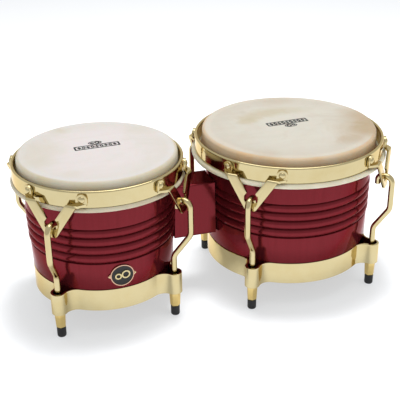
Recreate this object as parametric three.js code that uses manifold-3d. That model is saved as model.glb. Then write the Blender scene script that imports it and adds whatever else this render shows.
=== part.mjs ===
// Bongo drums: a small and a large hand drum joined by a wooden block.
// Millimetres, +Z up. X runs from the small drum to the large one and +Y points away from the player.
// The origin is on the floor, under the middle of the whole instrument.
import * as THREE from 'three';
import { mergeVertices } from 'three/addons/utils/BufferGeometryUtils.js';
import Module from 'manifold-3d';

const wasm = await Module();
wasm.setup();

// ---------------------------------------------------------------- driving dimensions

const GAP = 0.3; // clearance between pieces that touch
const ROUND = 48; // flats round a drum
const QUARTER = Math.PI / 2;

// Heights that both drums share
const HEAD_TOP = 197.2; // the playing face
const RIM_TOP = 189.7;
const RIM_BOTTOM = 170.4;
const HOOP_BOTTOM = 164.7; // underside of the skin wrapped round the flesh hoop
const SHELL_TOP = 195.6;
const BAND_TOP = 58.7;
const BAND_BOTTOM = 31.5;
const NUT_BOTTOM = 13.0;

// Wall thicknesses
const SKIN = 1.1;
const SHELL_WALL = 8.0;
const RIM_WALL = 2.8;
const BAND_WALL = 2.6;
const PLATE = 3.0;

// Raised ribs round the shells
const RIB_COUNT = 4;
const RIB_PITCH = 10.7;
const RIB_LOWEST = 93.8; // the lowest groove
const RIB_RISE = 1.3;
const GROOVE_DEPTH = 0.8;

// Tuning hardware
const ROD = 3.5; // radius
const HOOK = 8.6; // bend radius of the hook, on the rod's centre line
const HOOK_TOP = 150.5;
const HOOK_TIP = 139.5;
const ROD_OUT = 16.9; // the rod's upper length stands this far outside the rim
const JOG_TOP = 108.0;
const JOG_BOTTOM = 80.0;
const ROD_END = 17.0;
const LUG_RADIUS = 9.0; // outside of the ears on the bottom ring
const LUG_BLEND = 13.0; // hollow blend between an ear and the band
const LUG_FLOOR = 3.2;
const RIVET_HALF_SPACING = 33.0;
const TAB = 2.6; // thickness of a riveted tab
const TAB_WIDTH = 13.0;
const TAB_HEIGHT = 15.4;
const INSET = 0.25; // how far a joining piece is sunk below the faces it joins
const LEDGE_TOP = 176.5;
const LEDGE_OUT = 6.3; // the plate's outer face stands this far outside the rim at the ledge
const PLATE_TILT = 0.09;

// Centre block
const BLOCK_HALF_WIDTH = 19.5;
const BLOCK_TOP = 144.0;
const BLOCK_BOTTOM = 74.5;
const BOLT = 4.0; // radius
const BOLT_HEIGHTS = { upper: 127.0, lower: 92.0 };

// ringTurn and rimTurn: how far the lugs are turned from the diagonals, in degrees. Tuning has
// pulled the small drum's rim round a little further than its bottom ring.
const SMALL = {
  name: 'small',
  skin: 92.6,
  rim: 99.8,
  hoop: 101.8,
  shellTop: 89.5,
  shellBottom: 84.9,
  band: 85.1,
  lug: 97.6,
  ringTurn: 1.0,
  rimTurn: 4.9,
};
const LARGE = {
  name: 'large',
  skin: 106.0,
  rim: 115.9,
  hoop: 119.9,
  shellTop: 103.0,
  shellBottom: 100.9,
  band: 101.1,
  lug: 114.5,
  ringTurn: 2.7,
  rimTurn: 2.8,
};
const DRUM_SPACING = 239.3;
const HALF_LENGTH = (DRUM_SPACING + SMALL.hoop + LARGE.hoop) / 2;
SMALL.x = SMALL.hoop - HALF_LENGTH;
LARGE.x = HALF_LENGTH - LARGE.hoop;

// Lug positions round a drum, in degrees before the turn
const LUGS = { front_left: -135, front_right: -45, back_left: 135, back_right: 45 };

// ---------------------------------------------------------------- materials

const look = (color, roughness, metalness) => ({ color, roughness, metalness });
const LACQUER = look(0x7a2a30, 0.18, 0.0);
const GOLD = look(0xd9c48c, 0.25, 1.0);
const STEEL = look(0xb8b8b8, 0.35, 1.0);
const RUBBER = look(0x1c1c1c, 0.8, 0.0);
const SMALL_HIDE = look(0xe8e0d8, 0.6, 0.0);
const LARGE_HIDE = look(0xd9c9b4, 0.6, 0.0);
const ENAMEL = look(0x201a18, 0.4, 0.0);

// ---------------------------------------------------------------- solids

// A Manifold from a three.js geometry: welded, without slivers, and facing out.
function solid(geometry) {
  const bare = geometry.index ? geometry.toNonIndexed() : geometry.clone();
  bare.deleteAttribute('normal');
  bare.deleteAttribute('uv');
  const welded = mergeVertices(bare, 1e-4);
  const points = welded.attributes.position.array;
  const corner = (i) => new THREE.Vector3().fromArray(points, 3 * i);
  const triangles = [];
  let volume = 0;
  for (let i = 0; i < welded.index.count; i += 3) {
    const [a, b, c] = [0, 1, 2].map((k) => welded.index.getX(i + k));
    if (a === b || b === c || c === a) continue;
    triangles.push([a, b, c]);
    volume += corner(a).dot(corner(b).cross(corner(c)));
  }
  const ordered = volume < 0 ? triangles.map(([a, b, c]) => [a, c, b]) : triangles;
  return new wasm.Manifold(
    new wasm.Mesh({
      numProp: 3,
      vertProperties: Float32Array.from(points),
      triVerts: Uint32Array.from(ordered.flat()),
    }),
  );
}

function toGeometry(manifold) {
  const mesh = manifold.getMesh();
  const geometry = new THREE.BufferGeometry();
  geometry.setAttribute('position', new THREE.BufferAttribute(mesh.vertProperties, 3));
  geometry.setIndex(new THREE.BufferAttribute(mesh.triVerts, 1));
  return geometry;
}

const join = (pieces) => pieces.reduce((whole, piece) => whole.add(piece));

// Turned about Z from [radius, height] points. A ring's outline closes on itself.
function turned(outline, { ring = false, flats = ROUND } = {}) {
  const points = outline.map(([r, z]) => new THREE.Vector2(r, z));
  if (ring) points.push(points[0].clone());
  return new THREE.LatheGeometry(points, flats).rotateX(QUARTER);
}

// A plan outline raised from one height to another.
function raised(shape, bottom, top) {
  const options = { depth: top - bottom, bevelEnabled: false, curveSegments: 4 };
  const geometry = new THREE.ExtrudeGeometry(shape, options);
  return geometry.translate(0, 0, bottom);
}

const polygon = (points) => new THREE.Shape(points.map(([x, y]) => new THREE.Vector2(x, y)));

// Moves something built with +Y pointing outwards to an azimuth round a drum.
function placed(geometry, drum, degrees) {
  const turn = THREE.MathUtils.degToRad(degrees) - QUARTER;
  return geometry.rotateZ(turn).translate(drum.x, 0, 0);
}

// ---------------------------------------------------------------- shells and heads

function shellRadius(drum, z) {
  const along = (z - BAND_TOP) / (SHELL_TOP - BAND_TOP);
  return drum.shellBottom + along * (drum.shellTop - drum.shellBottom);
}

function shellOutline(drum) {
  const seat = drum.band - BAND_WALL - GAP;
  const shoulder = BAND_TOP + 0.4;
  const outline = [
    [seat, BAND_BOTTOM + LUG_FLOOR + GAP],
    [seat, shoulder],
    [shellRadius(drum, shoulder), shoulder],
  ];
  for (let i = 0; i <= RIB_COUNT; i += 1) {
    const z = RIB_LOWEST + i * RIB_PITCH;
    if (i === 0) outline.push([shellRadius(drum, z - 2), z - 2]);
    outline.push([shellRadius(drum, z) - GROOVE_DEPTH, z]);
    if (i === RIB_COUNT) {
      outline.push([shellRadius(drum, z + 2), z + 2]);
    } else {
      for (const up of [0.25, 0.75]) {
        const crest = z + up * RIB_PITCH;
        outline.push([shellRadius(drum, crest) + RIB_RISE, crest]);
      }
    }
  }
  outline.push([drum.shellTop - 0.2, SHELL_TOP - 3], [drum.shellTop - 2.2, SHELL_TOP]);
  outline.push([drum.shellTop - SHELL_WALL, SHELL_TOP]);
  outline.push([seat - SHELL_WALL + 2.0, BAND_BOTTOM + LUG_FLOOR + GAP]);
  return outline;
}

function shell(drum) {
  const body = solid(turned(shellOutline(drum), { ring: true }).translate(drum.x, 0, 0));
  return Object.values(BOLT_HEIGHTS).reduce((left, z) => left.subtract(boltHole(z)), body);
}

// The hide: playing face, shoulder, collar, and the wrap round the flesh hoop. The wrap stays open
// towards the shell, so it encloses nothing.
function head(drum) {
  const { skin, hoop } = drum;
  const hoopTop = RIM_BOTTOM - GAP;
  const hoopMiddle = (hoopTop + HOOP_BOTTOM) / 2;
  return solid(
    turned([
      [0, HEAD_TOP],
      [skin - 5, HEAD_TOP],
      [skin - 1.4, HEAD_TOP - 1.6],
      [skin, HEAD_TOP - 6],
      [skin + 0.8, RIM_BOTTOM + 3],
      [skin + 3, hoopTop],
      [hoop - 1.6, hoopTop],
      [hoop, hoopMiddle],
      [hoop - 1.6, HOOP_BOTTOM],
      [skin + 2, HOOP_BOTTOM],
      [skin + 2, HOOP_BOTTOM + SKIN],
      [hoop - 2.1, HOOP_BOTTOM + SKIN],
      [hoop - 1.2, hoopMiddle],
      [hoop - 2.1, hoopTop - SKIN],
      [skin + 2.4, hoopTop - SKIN],
      [skin - 0.4, RIM_BOTTOM + 2.4],
      [skin - SKIN, HEAD_TOP - 6.2],
      [skin - 2.3, HEAD_TOP - SKIN - 1.2],
      [skin - 5.4, HEAD_TOP - SKIN],
      [0, HEAD_TOP - SKIN],
    ]).translate(drum.x, 0, 0),
  );
}

function fleshHoop(drum) {
  const inner = drum.skin + 2.4;
  const outer = drum.hoop - 2.4;
  const bottom = HOOP_BOTTOM + SKIN + GAP;
  const top = RIM_BOTTOM - SKIN - 2 * GAP;
  const outline = [[inner, bottom], [outer, bottom], [outer, top], [inner, top]];
  return solid(turned(outline, { ring: true }).translate(drum.x, 0, 0));
}

// A flat band with a rolled top edge.
function rim(drum) {
  const outer = drum.rim;
  const inner = outer - RIM_WALL;
  const outline = [
    [inner, RIM_BOTTOM],
    [outer, RIM_BOTTOM],
    [outer, RIM_TOP - 1.2],
    [outer - 0.9, RIM_TOP],
    [inner + 0.1, RIM_TOP],
    [inner - 0.8, RIM_TOP - 1.4],
    [inner, RIM_TOP - 3],
  ];
  return solid(turned(outline, { ring: true }).translate(drum.x, 0, 0));
}

// ---------------------------------------------------------------- bottom ring

// The band's outline, drawn this far inside its outer face: four hollow ears on a circle.
function bandOutline(drum, inset) {
  const band = drum.band - inset;
  const blend = LUG_BLEND + inset;
  const ear = LUG_RADIUS - inset;
  const toBlend = band + blend;
  const across = ear + blend;
  const atCentre = (drum.lug ** 2 + toBlend ** 2 - across ** 2) / (2 * drum.lug * toBlend);
  const atEar = (drum.lug ** 2 + across ** 2 - toBlend ** 2) / (2 * drum.lug * across);
  const swing = Math.acos(atCentre);
  const wrap = Math.PI - Math.acos(atEar);
  const shape = new THREE.Shape();
  for (const base of Object.values(LUGS).sort((a, b) => a - b)) {
    const lug = THREE.MathUtils.degToRad(base + drum.ringTurn);
    const [before, after] = [lug - swing, lug + swing];
    const nextBefore = lug + QUARTER - swing;
    const [x, y] = [drum.lug * Math.cos(lug), drum.lug * Math.sin(lug)];
    const blendAt = (angle) => [toBlend * Math.cos(angle), toBlend * Math.sin(angle)];
    const earStart = lug - wrap;
    const earEnd = lug + wrap;
    shape.absarc(...blendAt(before), blend, before + Math.PI, earStart + Math.PI, true);
    shape.absarc(x, y, ear, earStart, earEnd, false);
    shape.absarc(...blendAt(after), blend, earEnd + Math.PI, after + Math.PI, true);
    shape.absarc(0, 0, band, after, nextBefore, false);
  }
  return shape;
}

function circlePath(x, y, radius, flats) {
  const circle = new THREE.EllipseCurve(x, y, radius, radius, 0, 2 * Math.PI, true);
  return new THREE.Path(circle.getPoints(flats));
}

// A thin band with a floor: a narrow ledge for the shell, and the ears' floors with the rod holes.
function bottomRing(drum) {
  const wall = bandOutline(drum, 0);
  wall.holes.push(bandOutline(drum, BAND_WALL));
  const floor = bandOutline(drum, BAND_WALL / 2);
  floor.holes.push(circlePath(0, 0, drum.band - BAND_WALL - 7, ROUND));
  for (const base of Object.values(LUGS)) {
    const angle = THREE.MathUtils.degToRad(base + drum.ringTurn);
    const [x, y] = [drum.lug * Math.cos(angle), drum.lug * Math.sin(angle)];
    floor.holes.push(circlePath(x, y, ROD + 0.9, 12));
  }
  const walls = solid(raised(wall, BAND_BOTTOM, BAND_TOP));
  const ledge = solid(raised(floor, BAND_BOTTOM, BAND_BOTTOM + LUG_FLOOR));
  return walls.add(ledge).translate([drum.x, 0, 0]);
}

// ---------------------------------------------------------------- tuning hardware

// A path through corners in space, each rounded to its own radius.
class RoundedPath extends THREE.Curve {
  constructor(corners, radii, arcSteps) {
    super();
    this.stations = [corners[0]];
    radii.forEach((radius, i) => {
      const [a, b, c] = corners.slice(i, i + 3);
      const back = a.clone().sub(b).normalize();
      const on = c.clone().sub(b).normalize();
      const half = back.angleTo(on) / 2;
      const middle = back.clone().add(on).normalize();
      const centre = b.clone().addScaledVector(middle, radius / Math.sin(half));
      const start = b.clone().addScaledVector(back, radius / Math.tan(half)).sub(centre);
      const axis = back.clone().cross(on).normalize().negate();
      const sweep = Math.PI - 2 * half;
      for (let k = 0; k <= arcSteps[i]; k += 1) {
        const spoke = start.clone().applyAxisAngle(axis, (sweep * k) / arcSteps[i]);
        const point = centre.clone().add(spoke);
        if (point.distanceTo(this.stations.at(-1)) > 0.05) this.stations.push(point);
      }
    });
    this.stations.push(corners.at(-1));
  }

  get steps() {
    return this.stations.length - 1;
  }

  getPoint(t) {
    return this.stations[Math.round(t * this.steps)].clone();
  }

  getPointAt(t) {
    return this.getPoint(t);
  }

  getTangentAt(t) {
    const i = Math.round(t * this.steps);
    const from = this.stations[Math.max(i - 1, 0)];
    const to = this.stations[Math.min(i + 1, this.steps)];
    return to.clone().sub(from).normalize();
  }
}

function roundBar(path, radius) {
  const section = new THREE.Shape();
  section.absarc(0, 0, radius, 0, 2 * Math.PI, false);
  return new THREE.ExtrudeGeometry(section, {
    steps: path.steps,
    extrudePath: path,
    curveSegments: 4,
  });
}

// Hook over the plate, down outside the rim, jog inwards, and down through the ear into the nut.
function tuningRod(drum, base) {
  const at = (radius, degrees, z) => {
    const angle = THREE.MathUtils.degToRad(degrees);
    return new THREE.Vector3(drum.x + radius * Math.cos(angle), radius * Math.sin(angle), z);
  };
  const upper = base + drum.rimTurn;
  const lower = base + drum.ringTurn;
  const outside = drum.rim + ROD_OUT;
  const inside = outside - 2 * HOOK;
  const corners = [
    at(inside, upper, HOOK_TIP),
    at(inside, upper, HOOK_TOP),
    at(outside, upper, HOOK_TOP),
    at(outside, upper, JOG_TOP),
    at(drum.lug, lower, JOG_BOTTOM),
    at(drum.lug, lower, ROD_END),
  ];
  return solid(roundBar(new RoundedPath(corners, [HOOK, HOOK, 14, 14], [4, 4, 2, 2]), ROD));
}

// A folded strap: two riveted tabs on the rim, a ledge below each, and a V with a keyhole that
// the rod's hook sits in. Built with +Y outwards, then turned to its lug.
function sidePlate(drum, base) {
  const half = [
    [18.5, LEDGE_TOP],
    [5.3, 157.5],
    [8.2, 153.2],
    [8.2, 148.6],
    [5.4, 145.7],
  ];
  const outside = [
    [5.0, 136.4],
    [7.2, 138.2],
    [32.0, LEDGE_TOP],
  ];
  const mirror = (points) => points.map(([u, z]) => [-u, z]).reverse();
  const vee = raised(polygon([...half, ...mirror(half), ...mirror(outside), ...outside]), 0, PLATE);
  const face = drum.rim + LEDGE_OUT;
  vee.rotateX(QUARTER).translate(0, PLATE, -LEDGE_TOP).rotateX(PLATE_TILT);
  vee.translate(0, face - PLATE, LEDGE_TOP);

  const reach = Math.asin(RIVET_HALF_SPACING / (drum.rim + GAP + PLATE / 2));
  const pieces = [solid(placed(vee, drum, base + drum.rimTurn))];
  for (const side of [-1, 1]) {
    const turn = -side * reach;
    const normal = [Math.sin(side * reach), Math.cos(reach)];
    const along = [side * Math.cos(reach), -Math.sin(reach)];
    const onTab = (out, sideways) => [
      normal[0] * (drum.rim + GAP + out) + along[0] * sideways,
      normal[1] * (drum.rim + GAP + out) + along[1] * sideways,
    ];
    const ledge = polygon([
      [side * 18.9, face - PLATE + INSET],
      [side * 18.9, face - INSET],
      [side * 31.6, face - INSET],
      onTab(TAB - INSET, TAB_WIDTH / 2 - INSET),
      onTab(INSET, TAB_WIDTH / 2 - INSET),
      onTab(INSET, INSET - TAB_WIDTH / 2),
    ]);
    const tab = new THREE.BoxGeometry(TAB_WIDTH, TAB, TAB_HEIGHT).rotateZ(turn);
    const [tabX, tabY] = onTab(TAB / 2, 0);
    tab.translate(tabX, tabY, RIM_TOP - 1.2 - TAB_HEIGHT / 2);
    const dome = turned([[0, -1.5], [5.0, -1.5], [5.0, 0.8], [3.4, 2.4], [0, 3.0]], { flats: 12 });
    const [rivetX, rivetY] = onTab(TAB, 0);
    dome.rotateX(-QUARTER).rotateZ(turn).translate(rivetX, rivetY, 181.5);
    for (const piece of [raised(ledge, LEDGE_TOP - PLATE, LEDGE_TOP - INSET), tab, dome]) {
      pieces.push(solid(placed(piece, drum, base + drum.rimTurn)));
    }
  }
  return join(pieces);
}

function atLug(geometry, drum, base) {
  return solid(placed(geometry.translate(0, drum.lug, 0), drum, base + drum.ringTurn));
}

// A tapered hexagon nut with a blind thread and a short spigot for the rubber tip. One flat faces
// outwards.
function tuningNut(drum, base) {
  const outline = [
    [0, 14.5],
    [4.6, 14.5],
    [4.6, BAND_BOTTOM - GAP],
    [6.7, BAND_BOTTOM - GAP],
    [6.9, BAND_BOTTOM - 2.4],
    [6.1, NUT_BOTTOM],
    [3.6, NUT_BOTTOM],
    [3.6, 8.0],
    [0, 8.0],
  ];
  return atLug(turned(outline, { flats: 6 }).rotateZ(Math.PI / 6), drum, base);
}

function rubberFoot(drum, base) {
  const top = NUT_BOTTOM - GAP;
  const outline = [
    [0, 0],
    [4.6, 0],
    [5.2, 0.8],
    [5.4, top],
    [4.1, top],
    [4.1, 7.6],
    [0, 7.6],
  ];
  return atLug(turned(outline, { flats: 12 }), drum, base);
}

// ---------------------------------------------------------------- centre block and bolts

function alongX(outline, options) {
  return turned(outline, options).rotateY(QUARTER);
}

// Runs from one drum's middle to the other's, so it pierces only the walls that face each other.
function boltHole(z) {
  const radius = BOLT + 0.5;
  const hole = [[0, SMALL.x], [radius, SMALL.x], [radius, LARGE.x], [0, LARGE.x]];
  return solid(alongX(hole, { flats: 12 }).translate(0, 0, z));
}

// A shell's envelope with its ribs, for scooping the block's ends.
function shellEnvelope(drum) {
  const clear = RIB_RISE + GAP + 0.3;
  const [bottom, top] = [BLOCK_BOTTOM - 10, BLOCK_TOP + 10];
  const outline = [
    [0, bottom],
    [shellRadius(drum, bottom) + clear, bottom],
    [shellRadius(drum, top) + clear, top],
    [0, top],
  ];
  return solid(turned(outline).translate(drum.x, 0, 0));
}

function centreBlock() {
  const edge = 1.5;
  const [y, top, bottom] = [BLOCK_HALF_WIDTH, BLOCK_TOP, BLOCK_BOTTOM];
  const section = polygon([
    [-y + edge, bottom],
    [y - edge, bottom],
    [y, bottom + edge],
    [y, top - edge],
    [y - edge, top],
    [-y + edge, top],
    [-y, top - edge],
    [-y, bottom + edge],
  ]);
  const bar = raised(section, SMALL.x, LARGE.x).rotateX(QUARTER).rotateZ(QUARTER);
  let block = solid(bar).subtract(shellEnvelope(SMALL)).subtract(shellEnvelope(LARGE));
  for (const z of Object.values(BOLT_HEIGHTS)) block = block.subtract(boltHole(z));
  return block;
}

// Where a washer can lie flat inside a shell's curved wall, towards the block.
function seatInside(drum, z) {
  return shellRadius(drum, z) - SHELL_WALL - 2.6;
}

const WASHER = 2.0;

function throughBolt(z) {
  const headEnd = SMALL.x + seatInside(SMALL, z) - WASHER - 2 * GAP;
  const tip = LARGE.x - seatInside(LARGE, z) + WASHER + 12;
  const outline = [
    [0, headEnd - 5],
    [5.5, headEnd - 4.2],
    [8.5, headEnd - 1.5],
    [8.5, headEnd],
    [BOLT, headEnd],
    [BOLT, tip],
    [0, tip],
  ];
  return solid(alongX(outline, { flats: 12 }).translate(0, 0, z));
}

function washer(x, z) {
  const outline = [[BOLT + 0.5, 0], [10, 0], [10, WASHER], [BOLT + 0.5, WASHER]];
  return solid(alongX(outline, { ring: true, flats: 16 }).translate(x, 0, z));
}

function blockNut(z) {
  const start = LARGE.x - seatInside(LARGE, z) + WASHER + 2 * GAP;
  const outline = [[BOLT + 0.8, 0], [7.5, 0], [7.5, 6.5], [BOLT + 0.8, 6.5]];
  return solid(alongX(outline, { ring: true, flats: 6 }).translate(start, 0, z));
}

// ---------------------------------------------------------------- badge

// A thin disc that follows the shell's curve, with a small lug on each side.
function badge(drum) {
  const height = 76.4;
  const azimuth = -87.1;
  const disc = 14.5;
  const [bottom, top] = [height - 20, height + 14.8];
  const wall = (z, out) => [shellRadius(drum, z) + out, z];
  const sleeve = turned(
    [wall(bottom, GAP), wall(bottom, GAP + 1.5), wall(top, GAP + 1.5), wall(top, GAP)],
    { ring: true, flats: 2 * ROUND },
  ).translate(drum.x, 0, 0);
  const punch = turned([[0, 0], [disc, 0], [disc, 110], [0, 110]], { flats: 24 });
  punch.rotateX(-QUARTER).translate(0, 0, height);
  const lugs = polygon([[-17.5, 0], [0, 4], [17.5, 0], [0, -4]]);
  const points = raised(lugs, -110, 0).rotateX(QUARTER).translate(0, 0, height);
  const cutter = solid(placed(punch, drum, azimuth)).add(solid(placed(points, drum, azimuth)));
  return solid(sleeve).intersect(cutter);
}

// ---------------------------------------------------------------- assembly

const bongos = new THREE.Group();
bongos.name = 'bongo_drums';

function add(name, manifold, finish) {
  const mesh = new THREE.Mesh(toGeometry(manifold), new THREE.MeshStandardMaterial(finish));
  mesh.name = name;
  bongos.add(mesh);
}

for (const [drum, hide] of [[SMALL, SMALL_HIDE], [LARGE, LARGE_HIDE]]) {
  add(`${drum.name}_shell`, shell(drum), LACQUER);
  add(`${drum.name}_head`, head(drum), hide);
  add(`${drum.name}_flesh_hoop`, fleshHoop(drum), STEEL);
  add(`${drum.name}_rim`, rim(drum), GOLD);
  add(`${drum.name}_bottom_ring`, bottomRing(drum), GOLD);
  for (const [place, base] of Object.entries(LUGS)) {
    add(`${drum.name}_side_plate_${place}`, sidePlate(drum, base), GOLD);
    add(`${drum.name}_tuning_rod_${place}`, tuningRod(drum, base), GOLD);
    add(`${drum.name}_tuning_nut_${place}`, tuningNut(drum, base), GOLD);
    add(`${drum.name}_rubber_foot_${place}`, rubberFoot(drum, base), RUBBER);
  }
}

add('centre_block', centreBlock(), LACQUER);
for (const [place, z] of Object.entries(BOLT_HEIGHTS)) {
  const smallSeat = SMALL.x + seatInside(SMALL, z) - WASHER - GAP;
  const largeSeat = LARGE.x - seatInside(LARGE, z) + GAP;
  add(`block_bolt_${place}`, throughBolt(z), STEEL);
  add(`block_washer_small_${place}`, washer(smallSeat, z), STEEL);
  add(`block_washer_large_${place}`, washer(largeSeat, z), STEEL);
  add(`block_nut_${place}`, blockNut(z), STEEL);
}
add('round_badge', badge(SMALL), ENAMEL);

export default bongos;
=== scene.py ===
"""Looks for the bongo drums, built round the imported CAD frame. Metres, +Z up."""
import math

import bmesh
import bpy
from mathutils import Matrix, Vector, noise


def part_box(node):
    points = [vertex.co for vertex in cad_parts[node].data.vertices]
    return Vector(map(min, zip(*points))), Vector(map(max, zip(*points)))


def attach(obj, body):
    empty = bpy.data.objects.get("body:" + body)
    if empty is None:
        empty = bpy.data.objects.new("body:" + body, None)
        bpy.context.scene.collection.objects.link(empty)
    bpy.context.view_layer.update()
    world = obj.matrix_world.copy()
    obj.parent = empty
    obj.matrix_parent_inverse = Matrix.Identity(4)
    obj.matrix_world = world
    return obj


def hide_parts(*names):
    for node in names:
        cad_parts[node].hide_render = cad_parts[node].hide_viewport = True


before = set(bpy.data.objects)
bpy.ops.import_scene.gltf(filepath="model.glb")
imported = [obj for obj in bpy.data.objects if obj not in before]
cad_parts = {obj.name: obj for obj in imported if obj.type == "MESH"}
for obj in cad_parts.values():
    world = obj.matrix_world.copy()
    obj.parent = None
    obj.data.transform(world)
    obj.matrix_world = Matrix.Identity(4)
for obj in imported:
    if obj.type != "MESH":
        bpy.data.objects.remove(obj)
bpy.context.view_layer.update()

MM = 0.001
TAU = 2 * math.pi

# ---------------------------------------------------------------- sizes shared with the CAD frame

LUGS = {"front_left": -135, "front_right": -45, "back_left": 135, "back_right": 45}
HEAD_TOP = 197.2 * MM
RIM_TOP = 189.7 * MM
RIM_BOTTOM = 170.4 * MM
HOOP_BOTTOM = 164.7 * MM
SHELL_TOP = 195.6 * MM
BAND_TOP = 58.7 * MM
BAND_BOTTOM = 31.5 * MM
NUT_TOP = 31.2 * MM
NUT_BOTTOM = 13.0 * MM
GAP = 0.3 * MM
SHELL_WALL = 8.0 * MM
RIM_WALL = 2.8 * MM
BAND_WALL = 2.6 * MM
RIB_COUNT = 4
RIB_PITCH = 10.7 * MM
RIB_LOWEST = 93.8 * MM
# How far below each groove the darker band, partly painted shade, is centred.
GROOVE_SHADE_DROP = 0.7 * MM
ROD = 3.5 * MM
HOOK = 8.6 * MM
HOOK_TOP = 150.5 * MM
HOOK_TIP = 139.5 * MM
ROD_OUT = 16.9 * MM
JOG_TOP = 108.0 * MM
JOG_BOTTOM = 80.0 * MM
LUG_RADIUS = 9.0 * MM
LUG_BLEND = 13.0 * MM
LUG_FLOOR = 3.2 * MM
RIVET_HALF_SPACING = 33.0 * MM
RIVET_HEIGHT = 181.5 * MM
LEDGE_TOP = 176.5 * MM
LEDGE_OUT = 6.3 * MM
PLATE_TILT = 0.09
PLATE = 2.8 * MM
BLOCK_HALF_WIDTH = 19.5 * MM
BLOCK_TOP = 144.0 * MM
BLOCK_BOTTOM = 74.5 * MM
ROUND = 192
EDGE = 0.4 * MM


class Drum:
    """One drum's radii and places, mostly read from its CAD nodes."""

    def __init__(self, name, skin, shell_top, shell_bottom, band, lug, ring_turn, rim_turn,
                 seed):
        self.name = name
        rim_low, rim_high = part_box(f"{name}_rim")
        hoop_low, hoop_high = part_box(f"{name}_head")
        self.x = (rim_low[0] + rim_high[0]) / 2
        self.rim = (rim_high[0] - rim_low[0]) / 2
        self.hoop = (hoop_high[0] - hoop_low[0]) / 2
        self.skin = skin * MM
        self.shell_top = shell_top * MM
        self.shell_bottom = shell_bottom * MM
        self.band = band * MM
        self.lug = lug * MM
        self.ring_turn = ring_turn
        self.rim_turn = rim_turn
        self.seed = seed

    def shell_radius(self, z):
        along = (z - BAND_TOP) / (SHELL_TOP - BAND_TOP)
        return self.shell_bottom + along * (self.shell_top - self.shell_bottom)


# Radii in millimetres, turns in degrees. The seed makes each skin uneven in its own way.
SMALL = Drum("small", skin=94.0, shell_top=89.5, shell_bottom=84.9, band=85.1, lug=97.6,
             ring_turn=1.0, rim_turn=4.9, seed=3.0)
LARGE = Drum("large", skin=107.4, shell_top=103.0, shell_bottom=101.0, band=101.1, lug=114.5,
             ring_turn=2.7, rim_turn=2.8, seed=11.0)

# ---------------------------------------------------------------- mesh helpers


def new_object(name, bm, x=0.0, sharp=35, smooth=True):
    """Turns a bmesh into an object standing at the drum's axis, with clean normals."""
    bmesh.ops.recalc_face_normals(bm, faces=bm.faces)
    mesh = bpy.data.meshes.new(name)
    bm.to_mesh(mesh)
    bm.free()
    obj = bpy.data.objects.new(name, mesh)
    obj.location.x = x
    bpy.context.collection.objects.link(obj)
    if smooth:
        mesh.shade_smooth()
        mesh.set_sharp_from_angle(angle=math.radians(sharp))
    return obj


def bridge(bm, rings):
    """Quads between each ring of vertices and the next."""
    for low, high in zip(rings, rings[1:]):
        for k in range(len(low)):
            n = (k + 1) % len(low)
            bm.faces.new((low[k], low[n], high[n], high[k]))


def edge_loop(bm, verts):
    """New edges joining the vertices in a closed loop."""
    return [bm.edges.new((verts[k], verts[(k + 1) % len(verts)])) for k in range(len(verts))]


def filled_shape(loops):
    """A flat outline with holes, filled."""
    bm = bmesh.new()
    edges = []
    for loop in loops:
        edges += edge_loop(bm, [bm.verts.new((x, y, 0)) for x, y in loop])
    bmesh.ops.triangle_fill(bm, edges=edges, use_beauty=True)
    return bm


def raise_shape(bm, thickness):
    """Extrudes a filled shape upwards to an even thickness."""
    raised = bmesh.ops.extrude_face_region(bm, geom=list(bm.faces))
    for item in raised["geom"]:
        if isinstance(item, bmesh.types.BMVert):
            item.co.z = thickness


def oval(across, high, x=0.0, y=0.0, sides=40):
    turns = [TAU * k / sides for k in range(sides)]
    return [(x + across * math.cos(a), y + high * math.sin(a)) for a in turns]


def circle(radius, sides=64, x=0.0, y=0.0):
    return oval(radius, radius, x, y, sides)


def rounded(corners, radii, steps=4, closed=False):
    """The polyline through corners with each corner turned into an arc of its own radius."""
    points = [Vector(c) for c in corners]
    count = len(points)
    if not hasattr(radii, "__len__"):
        radii = [radii] * count
    out = []
    for i, b in enumerate(points):
        if not closed and i in (0, count - 1):
            out.append(b.copy())
            continue
        a, c = points[i - 1], points[(i + 1) % count]
        back, on = (a - b), (c - b)
        radius = radii[i]
        half = back.angle(on, 0.0) / 2
        if radius <= 0 or half > math.radians(89) or half < 1e-4:
            out.append(b.copy())
            continue
        reach = min(radius / math.tan(half), back.length * 0.49, on.length * 0.49)
        radius = reach * math.tan(half)
        back.normalize()
        on.normalize()
        middle = (back + on).normalized()
        centre = b + middle * (radius / math.sin(half))
        start, end = b + back * reach - centre, b + on * reach - centre
        sweep = math.pi - 2 * half
        for k in range(steps + 1):
            t = k / steps
            spoke = start * math.sin((1 - t) * sweep) + end * math.sin(t * sweep)
            out.append(centre + spoke / math.sin(sweep))
    return out


def lathe(name, outline, x, segments, sharp, shape=None):
    """An outline of (radius, height) turned round Z, closed unless it ends on the axis.

    shape may move each point off the axis.
    """
    bm = bmesh.new()
    rings = []
    for r, z in outline:
        if r < 1e-7:
            rings.append([bm.verts.new((0, 0, z))])
            continue
        ring = []
        for k in range(segments):
            a = TAU * k / segments
            p = Vector((r * math.cos(a), r * math.sin(a), z))
            ring.append(bm.verts.new(shape(p, a) if shape else p))
        rings.append(ring)
    closed = len(rings[0]) > 1 and len(rings[-1]) > 1
    for low, high in zip(rings, rings[1:] + (rings[:1] if closed else [])):
        for k in range(segments):
            n = (k + 1) % segments
            if len(low) == 1:
                bm.faces.new((low[0], high[k], high[n]))
            elif len(high) == 1:
                bm.faces.new((low[k], low[n], high[0]))
            else:
                bm.faces.new((low[k], low[n], high[n], high[k]))
    return new_object(name, bm, x, sharp)


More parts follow.
